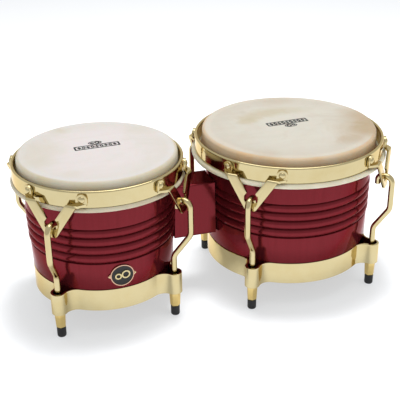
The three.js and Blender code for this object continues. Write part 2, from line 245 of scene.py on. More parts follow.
def sweep(name, path, radius, sides, x):
    """A round bar along a path, with softly rounded ends."""
    points = [Vector(p) for p in path]
    tangents = []
    for i in range(len(points)):
        a, b = points[max(i - 1, 0)], points[min(i + 1, len(points) - 1)]
        tangents.append((b - a).normalized())
    first, last = points[0], points[-1]
    edge = radius * 0.15
    points = [first, first + tangents[0] * edge, *points[1:-1], last - tangents[-1] * edge, last]
    tangents = [tangents[0], *tangents, tangents[-1]]
    radii = [radius - edge, *[radius] * (len(points) - 2), radius - edge]
    normal = tangents[0].orthogonal().normalized()
    bm = bmesh.new()
    rings = []
    for p, t, r in zip(points, tangents, radii):
        normal = (normal - t * normal.dot(t)).normalized()
        other = t.cross(normal)
        ring = []
        for k in range(sides):
            a = TAU * k / sides
            ring.append(bm.verts.new(p + (normal * math.cos(a) + other * math.sin(a)) * r))
        rings.append(ring)
    bridge(bm, rings)
    bm.faces.new(rings[0])
    bm.faces.new(rings[-1])
    return new_object(name, bm, x)


def bevel(obj):
    """Rounds the hard edges of a piece."""
    mod = obj.modifiers.new("edges", "BEVEL")
    mod.width = EDGE
    mod.segments = 2
    mod.limit_method = "ANGLE"
    mod.angle_limit = math.radians(50)


def apply_modifiers(obj):
    """Bakes the modifiers into the mesh."""
    graph = bpy.context.evaluated_depsgraph_get()
    mesh = bpy.data.meshes.new_from_object(obj.evaluated_get(graph))
    obj.modifiers.clear()
    obj.data = mesh


def lug_frame(degrees):
    """Local +Y points outwards at this azimuth, +X round the rim, +Z up."""
    return Matrix.Rotation(math.radians(degrees - 90), 4, "Z")


def finish_piece(obj, body, material, slot, *nodes):
    """Gives a piece its material, the body it rides and the CAD nodes it replaces; the slot is not
    used.
    """
    obj.data.materials.clear()
    obj.data.materials.append(material)
    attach(obj, body)
    if nodes:
        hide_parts(*nodes)


# ---------------------------------------------------------------- materials


class Look:
    """A small builder for procedural materials."""

    def __init__(self, name):
        self.material = bpy.data.materials.new(name)
        self.material.use_nodes = True
        self.tree = self.material.node_tree
        self.shader = self.tree.nodes["Principled BSDF"]
        self.coords = self.tree.nodes.new("ShaderNodeTexCoord").outputs["Object"]

    def set(self, **values):
        for key, value in values.items():
            self.shader.inputs[key.replace("_", " ")].default_value = value
        return self

    def node(self, kind, **inputs):
        made = self.tree.nodes.new("ShaderNode" + kind)
        for key, value in inputs.items():
            if hasattr(made, key) and not key[0].isupper():
                setattr(made, key, value)
            else:
                self.feed(made.inputs[key.replace("_", " ")], value)
        return made

    def feed(self, socket, value):
        if isinstance(value, bpy.types.NodeSocket):
            self.tree.links.new(value, socket)
        else:
            socket.default_value = value

    def scaled(self, x, y, z):
        mapping = self.node("Mapping", Vector=self.coords, Scale=(x, y, z))
        return mapping.outputs["Vector"]

    def noise(self, scale, detail=4.0, roughness=0.55, vector=None, distortion=0.0):
        made = self.node("TexNoise", Vector=vector or self.coords)
        made.inputs["Scale"].default_value = scale
        made.inputs["Detail"].default_value = detail
        made.inputs["Roughness"].default_value = roughness
        made.inputs["Distortion"].default_value = distortion
        return made.outputs["Fac"]

    def ramp(self, factor, stops):
        made = self.node("ValToRGB", Fac=factor)
        elements = made.color_ramp.elements
        while len(elements) < len(stops):
            elements.new(0.5)
        for element, (position, colour) in zip(elements, stops):
            element.position = position
            element.color = (*colour, 1.0)
        return made.outputs["Color"]

    def mix(self, factor, a, b):
        made = self.tree.nodes.new("ShaderNodeMix")
        made.data_type = "RGBA"
        made.clamp_factor = True
        self.feed(made.inputs[0], factor)
        for socket, value in ((made.inputs[6], a), (made.inputs[7], b)):
            self.feed(socket, (*value, 1.0) if isinstance(value, tuple) else value)
        return made.outputs[2]

    def math(self, operation, a, b=0.0):
        made = self.node("Math", operation=operation)
        self.feed(made.inputs[0], a)
        self.feed(made.inputs[1], b)
        return made.outputs[0]

    def span(self, value, low, high, to_low=0.0, to_high=1.0):
        """A soft step from to_low to to_high as the value goes from low to high."""
        made = self.node("MapRange", Value=value)
        made.interpolation_type = "SMOOTHSTEP"
        for key, number in (
            ("From Min", low), ("From Max", high), ("To Min", to_low), ("To Max", to_high),
        ):
            made.inputs[key].default_value = number
        return made.outputs["Result"]

    def length(self, a, b):
        square = self.math("ADD", self.math("MULTIPLY", a, a), self.math("MULTIPLY", b, b))
        return self.math("SQRT", square)

    def cylinder(self):
        """(radius, angle, height) of the point about the piece's own Z axis."""
        x, y, z = self.node("SeparateXYZ", Vector=self.coords).outputs
        return self.length(x, y), self.math("ARCTAN2", y, x), z

    def distance(self, x, y):
        """How far the point is, seen from above, from a place on the playing face."""
        split = self.node("SeparateXYZ", Vector=self.coords).outputs
        return self.length(self.math("SUBTRACT", split[0], x), self.math("SUBTRACT", split[1], y))

    def upright(self, around, along):
        """Texture coordinates wrapped round the axis, scaled round it and along it."""
        _, angle, height = self.cylinder()
        around = self.math("MULTIPLY", angle, around)
        along = self.math("MULTIPLY", height, along)
        return self.node("CombineXYZ", X=around, Y=along, Z=0.0).outputs[0]

    def surface(self, colour, roughness):
        self.feed(self.shader.inputs["Base Color"], colour)
        self.feed(self.shader.inputs["Roughness"], roughness)

    def bump(self, *layers):
        """Stacks (height, strength, distance) layers into the shader's normal."""
        normal = None
        for height, strength, distance in layers:
            made = self.node("Bump", Height=height)
            made.inputs["Strength"].default_value = strength
            made.inputs["Distance"].default_value = distance
            if normal is not None:
                self.feed(made.inputs["Normal"], normal)
            normal = made.outputs["Normal"]
        self.feed(self.shader.inputs["Normal"], normal)


def gold_look(name, tint=(0.545, 0.46, 0.25)):
    """Bright plating under a thin clear coat, with faint handling marks."""
    look = Look(name).set(Metallic=1.0, Coat_Weight=0.4, Coat_Roughness=0.08, Coat_IOR=1.5)
    look.set(Specular_Tint=(1.0, 0.8, 0.48, 1.0))
    deep = tuple(c * k for c, k in zip(tint, (0.96, 0.93, 0.86)))
    cloud = look.noise(45.0, 5.0, 0.6)
    colour = look.mix(look.span(cloud, 0.35, 0.75), tint, deep)
    smear = look.noise(18.0, 6.0, 0.65, distortion=0.4)
    look.surface(colour, look.span(smear, 0.3, 0.8, 0.07, 0.15))
    look.bump((look.noise(240.0, 2.0, 0.5), 0.035, 0.2 * MM))
    return look.material


def lacquer_look(name, grooves=False):
    """Deep red candy lacquer over fine upright grain, darker just below a shell's grooves:
    partly lacquer pooled there and partly painted shade under each rib.
    """
    look = Look(name).set(Coat_Weight=0.35, Coat_Roughness=0.03, Coat_IOR=1.2, Metallic=0.65)
    look.set(Specular_IOR_Level=0.0, Specular_Tint=(0.5, 0.08, 0.09, 1.0))
    grain_at = look.upright(0.55, 0.35)
    grain = look.noise(46.0, 6.0, 0.62, vector=grain_at, distortion=0.6)
    pores = look.noise(420.0, 3.0, 0.6, vector=grain_at)
    colour = look.ramp(grain, [(0.25, (0.15, 0.016, 0.0205)), (0.55, (0.168, 0.018, 0.024)),
                               (0.8, (0.182, 0.02, 0.0265))])
    dark = look.span(pores, 0.62, 0.74, 0.0, 0.16)
    colour = look.mix(dark, colour, (0.11, 0.005, 0.007))
    # Painted shade, partly pooled lacquer: a darker band a little below each groove, where the rib
    # above shades it.
    if grooves:
        _, _, height = look.cylinder()
        lowest = RIB_LOWEST - GROOVE_SHADE_DROP
        steps = look.math("DIVIDE", look.math("SUBTRACT", height, lowest), RIB_PITCH)
        steps = look.math("MINIMUM", look.math("MAXIMUM", steps, 0.0), float(RIB_COUNT))
        nearest = look.math("ROUND", steps)
        at = look.math("ADD", look.math("MULTIPLY", nearest, RIB_PITCH), lowest)
        away = look.math("ABSOLUTE", look.math("SUBTRACT", height, at))
        groove_shade = look.span(away, 0.2 * MM, 1.4 * MM, 0.52, 0.0)
        colour = look.mix(groove_shade, colour, (0.05, 0.003, 0.004))
    look.surface(colour, look.span(look.noise(60.0, 5.0, 0.6), 0.3, 0.8, 0.1, 0.17))
    peel = look.noise(150.0, 2.0, 0.5)
    look.bump((peel, 0.03, 0.3 * MM), (grain, 0.03, 0.2 * MM))
    return look.material


def bare_wood_look(name):
    """The unlacquered inside of a shell."""
    look = Look(name).set(Specular_IOR_Level=0.3)
    grain = look.noise(55.0, 8.0, 0.65, vector=look.upright(0.5, 0.3), distortion=0.8)
    colour = look.ramp(grain, [(0.3, (0.33, 0.2, 0.11)), (0.55, (0.5, 0.34, 0.2)),
                               (0.8, (0.6, 0.44, 0.28))])
    look.surface(colour, look.span(grain, 0.2, 0.8, 0.55, 0.8))
    look.bump((grain, 0.3, 0.4 * MM))
    return look.material


def hide_look(name, drum, pale, warm, yellow, brown, highlight_ring_colour, collar, deep_collar, hoop,
              yellow_stains, brown_stains, mottle):
    """Rawhide: a pale face with stains, fibres and a painted highlight ring inside its shoulder,
    then a tanned collar partly painted with bounce light from the rim, and a hoop wrap.

    Each stain is its place from the drum's axis and the two radii between which it fades, all
    in millimetres, and its strength.
    """
    look = Look(name).set(Specular_IOR_Level=0.35, Coat_Weight=0.15, Coat_Roughness=0.3)
    look.set(Subsurface_Weight=0.1, Subsurface_Scale=2 * MM)
    radius, _, _ = look.cylinder()
    skin = drum.skin
    cloud = look.noise(13.0, 5.0, 0.6, distortion=0.8)
    patch = look.noise(26.0, 6.0, 0.65, distortion=1.4)
    fibre = look.noise(60.0, 6.0, 0.7, vector=look.scaled(0.25, 1.0, 1.0), distortion=0.5)
    speck = look.noise(330.0, 3.0, 0.6)
    face = look.mix(look.span(cloud, 0.42, 0.7, 0.0, 0.8), pale, warm)
    outer = look.span(radius, skin * 0.45, skin * 0.95, 0.0, 0.75)
    face = look.mix(look.math("MULTIPLY", outer, look.span(cloud, 0.3, 0.6, 0.6, 1.0)), face, warm)
    # Painted highlight: a pale ring just inside the shoulder, where the skin turns over and
    # catches the light.
    highlight_ring = look.math("MULTIPLY", look.span(radius, skin - 14 * MM, skin - 9 * MM),
                     look.span(radius, skin - 6 * MM, skin - 3 * MM, 0.35, 0.0))
    face = look.mix(highlight_ring, face, highlight_ring_colour)
    # The collar colours are partly the hide's own tan and partly painted bounce light: lightened
    # and yellowed for the gold rim's glow into the gap.
    shoulder = look.span(radius, skin - 5.5 * MM, skin - 2.2 * MM)
    uneven = look.math("MULTIPLY", shoulder, look.span(patch, 0.3, 0.6, 0.7, 1.0))
    face = look.mix(uneven, face, look.mix(look.span(cloud, 0.4, 0.65), collar, deep_collar))
    ragged = look.math("MULTIPLY", look.math("SUBTRACT", patch, 0.5), 0.03)
    for colour, spots in ((yellow, yellow_stains), (brown, brown_stains)):
        for x, y, inner, outer, amount in spots:
            away = look.math("ADD", look.distance(x * MM, y * MM), ragged)
            edge = look.span(away, inner * MM, outer * MM, amount, 0.0)
            face = look.mix(edge, face, colour)
    face = look.mix(look.span(patch, 0.55, 0.8, 0.0, mottle), face, brown)
    face = look.mix(look.span(fibre, 0.5, 0.75, 0.0, 0.3), face, warm)
    face = look.mix(look.span(speck, 0.62, 0.72, 0.0, 0.15), face, brown)
    wrap = look.span(radius, skin + 2.4 * MM, skin + 4.2 * MM)
    wrapped = look.mix(look.span(patch, 0.4, 0.7), *hoop)
    look.surface(look.mix(wrap, face, wrapped), look.span(fibre, 0.3, 0.7, 0.42, 0.6))
    look.bump((fibre, 0.14, 0.4 * MM), (speck, 0.08, 0.2 * MM), (cloud, 0.2, 0.8 * MM))
    return look.material


def rubber_look(name):
    """Dusty black rubber."""
    look = Look(name).set(Specular_IOR_Level=0.35)
    dust = look.noise(90.0, 5.0, 0.6)
    pits = look.noise(900.0, 2.0, 0.5)
    colour = look.mix(look.span(dust, 0.5, 0.8), (0.010, 0.010, 0.011), (0.028, 0.027, 0.026))
    look.surface(colour, look.span(dust, 0.3, 0.8, 0.45, 0.65))
    look.bump((pits, 0.25, 0.2 * MM))
    return look.material


def steel_look(name):
    """Plain zinc-plated steel, for the hidden hardware."""
    look = Look(name).set(Metallic=1.0)
    mottle = look.noise(120.0, 4.0, 0.6)
    colour = look.mix(look.span(mottle, 0.35, 0.7), (0.62, 0.62, 0.61), (0.48, 0.49, 0.5))
    look.surface(colour, look.span(mottle, 0.3, 0.7, 0.25, 0.42))
    look.bump((look.noise(500.0, 3.0), 0.1, 0.2 * MM))
    return look.material


def enamel_look(name, colour, lighter):
    """Smooth enamel, mottled between two near colours."""
    look = Look(name).set(Coat_Weight=0.2, Coat_Roughness=0.08, Specular_IOR_Level=0.2)
    mottle = look.noise(200.0, 4.0, 0.6)
    look.surface(look.mix(look.span(mottle, 0.4, 0.7), colour, lighter),
                 look.span(mottle, 0.3, 0.7, 0.3, 0.42))
    look.bump((mottle, 0.08, 0.2 * MM))
    return look.material


def ink_look(name):
    """A worn print on hide."""
    look = Look(name).set(Specular_IOR_Level=0.3)
    worn = look.noise(700.0, 5.0, 0.7)
    colour = look.mix(look.span(worn, 0.62, 0.78), (0.006, 0.005, 0.004), (0.035, 0.03, 0.024))
    look.surface(colour, look.span(worn, 0.3, 0.7, 0.4, 0.6))
    look.bump((worn, 0.1, 0.1 * MM))
    return look.material


GOLD = gold_look("polished_gold_plate")
# The nuts get a darker, deeper copy of the gold plate: painted shade for where they stand, low
# under the ring.
SHADED_NUT_GOLD = gold_look("shaded_nut_gold_plate", (0.60, 0.45, 0.17))
ROSE = gold_look("rose_gold_plate", (0.52, 0.33, 0.23))
LACQUER = lacquer_look("dark_red_lacquer")
SHELL_LACQUER = lacquer_look("dark_red_shell_lacquer", grooves=True)
BARE_WOOD = bare_wood_look("bare_shell_wood")
RUBBER = rubber_look("black_rubber")
STEEL = steel_look("zinc_plated_steel")
ENAMEL = enamel_look("black_enamel", (0.012, 0.011, 0.010), (0.022, 0.020, 0.018))
INK = ink_look("black_print")
SMALL_YELLOW_STAINS = [
    (-31, 74, 2, 20, 0.55), (-63, 22, 4, 40, 0.35), (-72, -12, 2, 34, 0.35), (62, 45, 5, 30, 0.25),
    (-40, -62, 3, 16, 0.2),
]
LARGE_YELLOW_STAINS = [
    (-46, 30, 3, 15, 0.4), (-41, 38, 4, 18, 0.4), (-33, 44, 5, 20, 0.4), (-22, 48, 6, 22, 0.4),
    (-8, 51, 6, 23, 0.4), (6, 52, 6, 23, 0.38), (20, 50, 5, 22, 0.32), (34, 47, 4, 20, 0.25),
]
LARGE_BROWN_STAINS = [
    (50, -66, 4, 22, 0.5), (78, -44, 5, 48, 0.5), (98, -4, 4, 44, 0.5), (96, -42, 12, 40, 0.75),
    (104, 10, 6, 34, 0.45), (-60, -80, 4, 26, 0.25), (20, 98, 4, 40, 0.25),
    (108, -16, 8, 30, 0.55),
]
# Each hide's highlight ring colour is a painted highlight; its collar colours are partly painted
# bounce light.
HIDE = {
    "small": hide_look(
        "small_rawhide", SMALL, pale=(0.71, 0.65, 0.63), warm=(0.645, 0.60, 0.54),
        yellow=(0.56, 0.515, 0.38), brown=(0.55, 0.50, 0.37), highlight_ring_colour=(0.68, 0.665, 0.655),
        collar=(0.58, 0.53, 0.40), deep_collar=(0.60, 0.51, 0.33),
        hoop=((0.56, 0.495, 0.35), (0.63, 0.57, 0.43)),
        yellow_stains=SMALL_YELLOW_STAINS, brown_stains=[], mottle=0.15),
    "large": hide_look(
        "large_rawhide", LARGE, pale=(0.62, 0.585, 0.50), warm=(0.56, 0.50, 0.41),
        yellow=(0.50, 0.42, 0.26), brown=(0.44, 0.32, 0.185), highlight_ring_colour=(0.70, 0.63, 0.52),
        collar=(0.66, 0.495, 0.31), deep_collar=(0.64, 0.42, 0.215),
        hoop=((0.70, 0.65, 0.48), (0.78, 0.73, 0.58)),
        yellow_stains=LARGE_YELLOW_STAINS, brown_stains=LARGE_BROWN_STAINS, mottle=0.3),
}

# ---------------------------------------------------------------- shells


RIB_STEPS = (0.0, 0.04, 0.09, 0.16, 0.25, 0.36, 0.5, 0.64, 0.75, 0.84, 0.91, 0.96)
RIB_FULLNESS = 0.62


def rib_outline(drum):
    """Rounded ribs parted by narrow grooves, from the lowest groove up."""
    points = []
    depth, rise = 1.4 * MM, 1.3 * MM
    for i in range(RIB_COUNT):
        for t in RIB_STEPS:
            z = RIB_LOWEST + (i + t) * RIB_PITCH
            swell = math.sin(math.pi * t) ** RIB_FULLNESS if t else 0.0
            points.append((drum.shell_radius(z) - depth + (depth + rise) * swell, z))
    top = RIB_LOWEST + RIB_COUNT * RIB_PITCH
    points.append((drum.shell_radius(top) - depth, top))
    return points


def build_shell(drum):
    """A tapered wooden shell with four ribs, lacquered outside and bare inside."""
    seat = drum.band - BAND_WALL - GAP
    foot = BAND_BOTTOM + LUG_FLOOR + GAP
    shoulder = BAND_TOP + 0.4 * MM
    low, high = RIB_LOWEST - 0.9 * MM, RIB_LOWEST + RIB_COUNT * RIB_PITCH + 0.9 * MM
    outside = [
        (seat, foot),
        (seat, shoulder),
        (drum.shell_radius(shoulder) - 0.5 * MM, shoulder),
        (drum.shell_radius(shoulder), shoulder + 0.6 * MM),
        (drum.shell_radius(low - 2 * MM), low - 2 * MM),
        (drum.shell_radius(low), low),
        *rib_outline(drum),
        (drum.shell_radius(high), high),
        (drum.shell_radius(high + 2 * MM), high + 2 * MM),
        (drum.shell_top - 0.4 * MM, SHELL_TOP - 4 * MM),
        (drum.shell_top - 1.2 * MM, SHELL_TOP - 1.4 * MM),
        (drum.shell_top - 3.2 * MM, SHELL_TOP - 0.1 * MM),
    ]
    inside = [
        (drum.shell_top - SHELL_WALL + 1 * MM, SHELL_TOP - 0.6 * MM),
        (drum.shell_top - SHELL_WALL, SHELL_TOP - 3 * MM),
        (seat - SHELL_WALL + 2 * MM, foot),
    ]
    obj = lathe(f"{drum.name}_shell_body", outside + inside, drum.x, ROUND, 50)
    finish_piece(obj, "frame", SHELL_LACQUER, "lacquered_wood", f"{drum.name}_shell")
    obj.data.materials.append(BARE_WOOD)
    limit = seat - 0.5 * MM
    for face in obj.data.polygons:
        centre = face.center
        inward = face.normal.x * centre.x + face.normal.y * centre.y < 0
        if inward and math.hypot(centre.x, centre.y) < max(limit, drum.shell_top - 5 * MM):
            face.material_index = 1


# ---------------------------------------------------------------- heads


def build_head(drum):
    """Skin over the shell's edge, down a flaring collar and round the flesh hoop."""
    s, h = drum.skin, drum.hoop
    hoop_top = RIM_BOTTOM - GAP
    middle = (hoop_top + HOOP_BOTTOM) / 2
    face = [(0.0, HEAD_TOP - 0.1 * MM)] + [(s * k / 12, HEAD_TOP) for k in range(1, 11)]
    crown = rounded(
        [(s * 0.86, HEAD_TOP, 0), (s - 0.6 * MM, HEAD_TOP, 0),
         (s + 0.3 * MM, RIM_BOTTOM + 4 * MM, 0), (s + 2.4 * MM, hoop_top, 0),
         (h - 1.0 * MM, hoop_top, 0)],
        [0, 4.0 * MM, 5 * MM, 2.5 * MM, 0], 8,
    )
    bulge = [
        (h - 2.6 * MM + 2.6 * MM * math.sin(a), middle + (hoop_top - middle) * math.cos(a))
        for a in [math.pi * k / 10 for k in range(11)]
    ]
    under = [(s + 1.2 * MM, HOOP_BOTTOM), (s + 0.6 * MM, HOOP_BOTTOM + 0.5 * MM),
             (s + 0.6 * MM, HOOP_BOTTOM + 1.1 * MM)]
    back = [(h - 2.1 * MM, HOOP_BOTTOM + 1.1 * MM), (h - 1.2 * MM, middle),
            (h - 2.1 * MM, hoop_top - 1.1 * MM), (s + 1.3 * MM, hoop_top - 1.1 * MM),
            (s - 0.9 * MM, RIM_BOTTOM + 2.4 * MM), (s - 1.6 * MM, HEAD_TOP - 8 * MM),
            (s - 2.9 * MM, HEAD_TOP - 3 * MM), (s - 5.4 * MM, HEAD_TOP - 1.1 * MM),
            (0.0, HEAD_TOP - 1.1 * MM)]
    outline = face + [(p.x, p.y) for p in crown[1:-1]] + bulge + under + back

    def wander(p, a):
        """A hand-tucked collar and hoop are never quite even, and the face dishes a little."""
        r = math.hypot(p.x, p.y)
        ripple = noise.noise(Vector((math.cos(a) * 2.2, math.sin(a) * 2.2, drum.seed)))
        fine = noise.noise(Vector((math.cos(a) * 9, math.sin(a) * 9, drum.seed + p.z * 60)))
        edge = min(max((r - s * 0.8) / (s * 0.2), 0), 1) * min(max((h - r) / (h - s), 0), 1)
        low = (ripple - 0.6) * 0.5 * MM * edge + fine * 0.12 * MM * edge
        scale = 1 + (low / r if r else 0)
        dish = 0.1 * MM * (1 - (r / s) ** 2) if r < s and p.z > HEAD_TOP - 2 * MM else 0
        return Vector((p.x * scale, p.y * scale, p.z - dish))

    obj = lathe(f"{drum.name}_head_skin", outline, drum.x, ROUND, 60, wander)
    finish_piece(obj, "frame", HIDE[drum.name], f"{drum.name}_rawhide", f"{drum.name}_head")


# ---------------------------------------------------------------- rims and bottom rings


def build_rim(drum):
    """A flat band with a rolled bead along its top edge."""
    outer, inner = drum.rim, drum.rim - RIM_WALL
    bead = 1.9 * MM
    roll = [
        (outer - bead + bead * math.cos(a), RIM_TOP - bead + bead * math.sin(a))
        for a in [math.radians(d) for d in range(-10, 231, 20)]
    ]
    outline = [
        (inner + 0.3 * MM, RIM_BOTTOM),
        (outer - 0.4 * MM, RIM_BOTTOM),
        (outer - 0.1 * MM, RIM_BOTTOM + 0.4 * MM),
        (outer - 0.1 * MM, RIM_BOTTOM + 1.0 * MM),
        (outer - 0.1 * MM, RIM_TOP - 5.2 * MM),
        (outer - 0.1 * MM, RIM_TOP - 3.0 * MM),
        *roll,
        (inner, RIM_TOP - 4.6 * MM),
        (inner, RIM_BOTTOM + 0.3 * MM),
    ]
    obj = lathe(f"{drum.name}_rim_band", outline, drum.x, ROUND, 30)
    body = f"{drum.name}_rim_assembly"
    finish_piece(obj, body, GOLD, "gold_plate", f"{drum.name}_rim")


def arc(centre, radius, start, end, steps):
    """Points along an arc, without its last one."""
    return [
        (centre[0] + radius * math.cos(start + (end - start) * k / steps),
         centre[1] + radius * math.sin(start + (end - start) * k / steps))
        for k in range(steps)
    ]


def band_outline(drum, inset):
    """The bottom ring's plan: four hollow ears on a circle, each with two hollow blends."""
    band, blend, ear = drum.band - inset, LUG_BLEND + inset, LUG_RADIUS - inset
    to_blend, across = band + blend, ear + blend
    swing = math.acos((drum.lug**2 + to_blend**2 - across**2) / (2 * drum.lug * to_blend))
    wrap = math.pi - math.acos((drum.lug**2 + across**2 - to_blend**2) / (2 * drum.lug * across))
    points = []
    for base in sorted(LUGS.values()):
        lug = math.radians(base + drum.ring_turn)
        before, after = lug - swing, lug + swing
        at = (drum.lug * math.cos(lug), drum.lug * math.sin(lug))
        first = (to_blend * math.cos(before), to_blend * math.sin(before))
        second = (to_blend * math.cos(after), to_blend * math.sin(after))
        turn = math.pi - (wrap - swing)
        points += arc(first, blend, before + math.pi, lug - wrap + math.pi, 12)
        points += arc(at, ear, lug - wrap, lug + wrap, 22)
        points += arc(second, blend, lug + wrap + math.pi, after + math.pi, 12)
        points += arc((0, 0), band, after, lug + math.pi / 2 - swing, 26)
    return points


def build_ring(drum):
    """A band with rounded edges, a ledge under the shell and a floor in each ear."""
    edge = 0.5 * MM
    profile = [
        (0.0, BAND_BOTTOM + edge), (0.0, BAND_BOTTOM + 3 * edge), (0.0, BAND_TOP - 3 * edge),
        (0.0, BAND_TOP - edge), (0.15 * MM, BAND_TOP - 0.15 * MM),
        (edge, BAND_TOP), (BAND_WALL - edge, BAND_TOP),
        (BAND_WALL - 0.15 * MM, BAND_TOP - 0.15 * MM),
        (BAND_WALL, BAND_TOP - edge), (BAND_WALL, BAND_BOTTOM + LUG_FLOOR),
    ]
    bm = bmesh.new()
    rings = [
        [bm.verts.new((x, y, z)) for x, y in band_outline(drum, inset)] for inset, z in profile
    ]
    bottom = [[bm.verts.new((x, y, BAND_BOTTOM)) for x, y in band_outline(drum, edge)]]
    rings = bottom + rings
    bridge(bm, rings)

    def cap(loop, z):
        """Fills between the outline and the ledge's inner circle, leaving the rod holes."""
        edges = [bm.edges.get(pair) for pair in zip(loop, loop[1:] + loop[:1])]
        made = []
        spots = [(0, 0, drum.band - BAND_WALL - 7 * MM, 144)]
        for base in LUGS.values():
            a = math.radians(base + drum.ring_turn)
            spots.append((drum.lug * math.cos(a), drum.lug * math.sin(a), ROD + 0.7 * MM, 24))
        for x, y, radius, sides in spots:
            hole = [bm.verts.new((*point, z)) for point in circle(radius, sides, x, y)]
            edges += edge_loop(bm, hole)
            made.append(hole)
        bmesh.ops.triangle_fill(bm, edges=edges, use_beauty=True)
        return made

    under = cap(rings[0], BAND_BOTTOM)
    above = cap(rings[-1], BAND_BOTTOM + LUG_FLOOR)
    for low, high in zip(under, above):
        bridge(bm, (low, high))
    obj = new_object(f"{drum.name}_bottom_ring_band", bm, drum.x, 32)
    finish_piece(obj, "frame", GOLD, "gold_plate", f"{drum.name}_bottom_ring")


# ---------------------------------------------------------------- tuning hardware


# The V's edges as (sideways, height) in millimetres: the inner one ends in the keyhole.
VEE_INNER = ((18.5, 176.5), (5.3, 157.5), (8.2, 153.6), (8.2, 148.6), (5.4, 145.7))
VEE_OUTER = ((32.0, 176.5), (7.2, 138.2), (5.0, 136.4))
TAB_HALF = 6.3 * MM
FOLD = LEDGE_TOP - PLATE / 2


def plate_point(drum):
    """Places (sideways, height) points on the plate's front leaf and on its right-hand tab."""
    face = drum.rim + LEDGE_OUT - PLATE / 2
    on_rim = drum.rim + GAP + PLATE / 2
    reach = math.asin(RIVET_HALF_SPACING / on_rim)
    normal = Vector((math.sin(reach), math.cos(reach), 0)) * on_rim
    along = Vector((math.cos(reach), -math.sin(reach), 0))

    def leaf(u, z):
        return Vector((u, face + (FOLD - z) * math.tan(PLATE_TILT), z))

    def tab(sideways, z):
        return normal + along * sideways + Vector((0, 0, z))

    return leaf, tab


def strap_rows(drum):
    """Rows across the strap: over the tab, the ledge and the bend into the front leaf."""
    leaf, tab = plate_point(drum)

    def edge_at(edge, z):
        (top_u, top_z), (low_u, low_z) = edge[0], edge[1]
        return (low_u + (top_u - low_u) * (z / MM - low_z) / (top_z - low_z)) * MM

    rows = []
    for degrees in (80, 62, 45, 28, 10):
        a = math.radians(degrees)
        z = RIVET_HEIGHT + TAB_HALF * math.sin(a)
        rows.append((tab(-TAB_HALF * math.cos(a), z), tab(TAB_HALF * math.cos(a), z)))
    below = FOLD - 5 * MM
    paths = []
    for edge, side in ((VEE_INNER, -1), (VEE_OUTER, 1)):
        corners = [tab(side * TAB_HALF, RIVET_HEIGHT), tab(side * TAB_HALF, FOLD),
                   leaf(edge_at(edge, FOLD), FOLD), leaf(edge_at(edge, below), below)]
        paths.append(rounded(corners, [0, 1.9 * MM, 1.9 * MM, 0], 5))
    return rows + list(zip(*paths))


def build_plate(drum, place, base):
    """Both straps and the V between them, as one bent sheet of even thickness."""
    bm = bmesh.new()
    across = 4
    leaf, _ = plate_point(drum)
    ends = []
    for side in (1, -1):
        made = []
        for a, b in strap_rows(drum):
            row = [a.lerp(b, k / across) for k in range(across + 1)]
            made.append([bm.verts.new((side * p.x, p.y, p.z)) for p in row])
        for low, high in zip(made, made[1:]):
            for k in range(across):
                bm.faces.new((low[k], low[k + 1], high[k + 1], high[k]))
        ends.append(made[-1])
    right, left = ends

    def border(start, corners, end, radii):
        """New vertices along rounded corners, without the two given ends."""
        flat = [(start.co.x, start.co.z, 0), *[(u * MM, z * MM, 0) for u, z in corners],
                (end.co.x, end.co.z, 0)]
        smooth = rounded(flat, [0, *[r * MM for r in radii], 0], 4)[1:-1]
        return [bm.verts.new(leaf(p.x, p.y)) for p in smooth]

    mirrored = [(-u, z) for u, z in VEE_OUTER[1:]]
    under = border(right[-1], [*VEE_OUTER[1:], *reversed(mirrored)], left[-1], [2, 2, 2, 2])
    keyhole = [(-u, z) for u, z in VEE_INNER[1:]] + list(reversed(VEE_INNER[1:]))
    over = border(left[0], keyhole, right[0], [0.6, 1.6, 1.6, 2.6, 2.6, 1.6, 1.6, 0.6])
    bm.faces.new([*right, *under, *reversed(left), *over])
    bmesh.ops.recalc_face_normals(bm, faces=bm.faces)
    bm.transform(lug_frame(base + drum.rim_turn))
    obj = new_object(f"{drum.name}_side_plate_strap_{place}", bm, drum.x, 60)
    thick = obj.modifiers.new("thickness", "SOLIDIFY")
    thick.thickness = PLATE
    thick.offset = 0
    thick.use_even_offset = True
    bevel(obj)
    apply_modifiers(obj)
    obj.data.shade_smooth()
    obj.data.set_sharp_from_angle(angle=math.radians(32))
    body = f"{drum.name}_rim_assembly"
    finish_piece(obj, body, GOLD, "gold_plate", f"{drum.name}_side_plate_{place}")
    reach = math.degrees(math.asin(RIVET_HALF_SPACING / (drum.rim + GAP + PLATE / 2)))
    for side, turn in (("left", -reach), ("right", reach)):
        build_rivet(drum, f"{place}_{side}", base + drum.rim_turn + turn)


def build_rivet(drum, place, degrees):
    """A domed rivet head, standing on its tab."""
    dome = [(0.0, 1.8), (1.1, 1.73), (2.1, 1.5), (3.0, 1.05), (3.6, 0.5), (3.9, 0.0),
            (4.0, -0.9), (0.0, -0.9)]
    obj = lathe(f"{drum.name}_rivet_{place}", [(r * MM, z * MM) for r, z in dome], 0, 32, 40)
    out = drum.rim + GAP + PLATE + 0.2 * MM
    turn = Matrix.Rotation(math.radians(-90), 4, "X")
    place_at = lug_frame(degrees) @ Matrix.Translation((0, out, RIVET_HEIGHT)) @ turn
    obj.data.transform(place_at)
    obj.location.x = drum.x
    finish_piece(obj, f"{drum.name}_rim_assembly", GOLD, "gold_plate")


def around(radius, degrees, z):
    """The point at this radius, azimuth and height about the drum's axis."""
    a = math.radians(degrees)
    return Vector((radius * math.cos(a), radius * math.sin(a), z))


